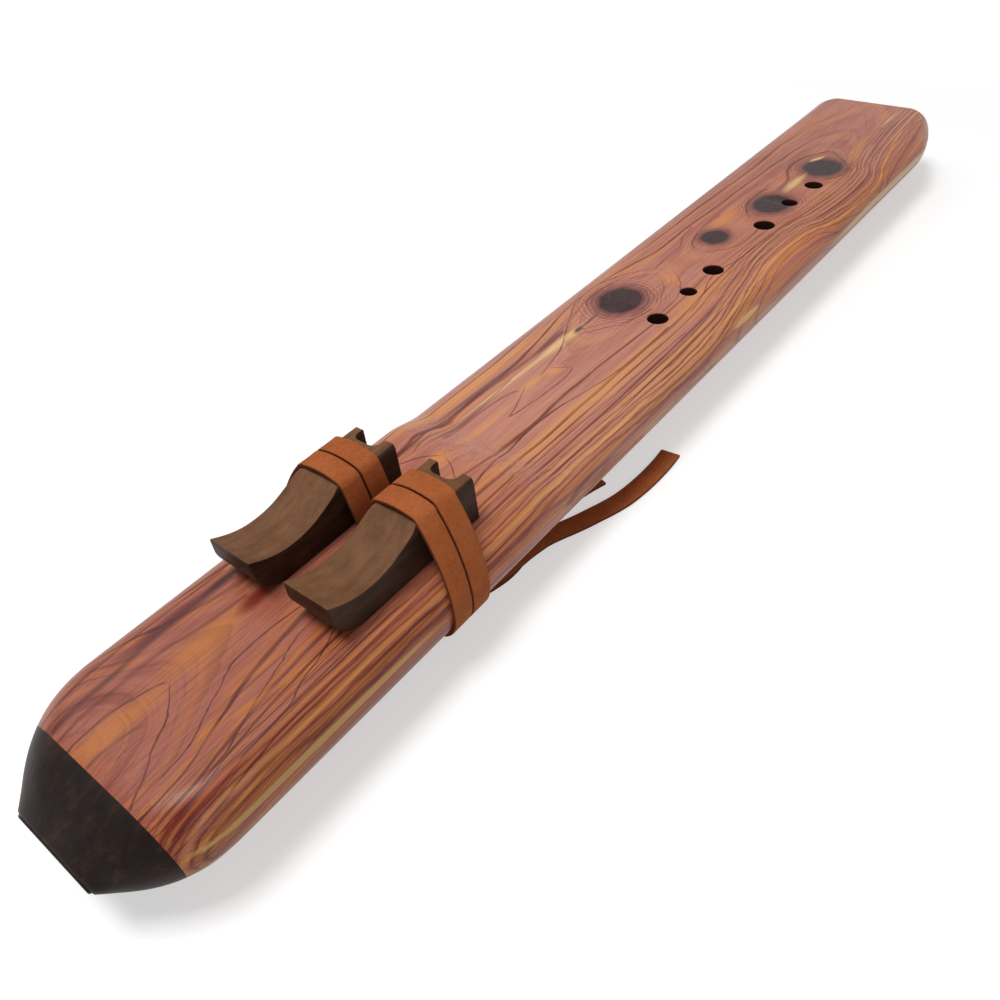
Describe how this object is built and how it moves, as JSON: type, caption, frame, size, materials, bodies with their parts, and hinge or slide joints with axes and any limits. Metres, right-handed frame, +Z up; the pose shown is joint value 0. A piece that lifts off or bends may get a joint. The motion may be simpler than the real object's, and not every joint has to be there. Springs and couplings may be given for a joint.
{
  "type": "double-barrelled flute",
  "caption": "Double-barrelled cedar flute with a dark mouthpiece tip, sliding walnut blocks tied over its windways with leather thongs, and finger holes along one barrel.",
  "frame": {"origin": "middle of the flute's length and width, on the surface that it lies on, at the lowest point of the knots under the barrels", "axes": "+X along the flute from the mouth end to the foot, +Y to the player's left, +Z up, out of the face with the blocks and the finger holes"},
  "size_m": [0.506, 0.0772, 0.0519],
  "materials": {
    "cedar": "satin oil finish over straight cedar grain with dark knots",
    "dark_walnut": "satin, near black",
    "block_walnut": "matt, open-grained",
    "leather": "soft suede with cut edges"
  },
  "bodies": {
    "flute_body": {"mouthpiece_tip": "dark_walnut", "upper_body_half": "cedar", "lower_body_half": "cedar", "left_thong": "leather", "right_thong": "leather", "left_knot": "leather", "right_knot": "leather", "long_tail": "leather", "short_tail": "leather"},
    "left_block": {"left_block": "block_walnut"},
    "right_block": {"right_block": "block_walnut"}
  },
  "joints": [
    {"name": "left_block_slide", "type": "slide", "parent": "flute_body", "child": "left_block", "axis": [1, 0, 0], "range_m": [-0.003, 0.003]},
    {"name": "right_block_slide", "type": "slide", "parent": "flute_body", "child": "right_block", "axis": [1, 0, 0], "range_m": [-0.003, 0.003]}
  ]
}
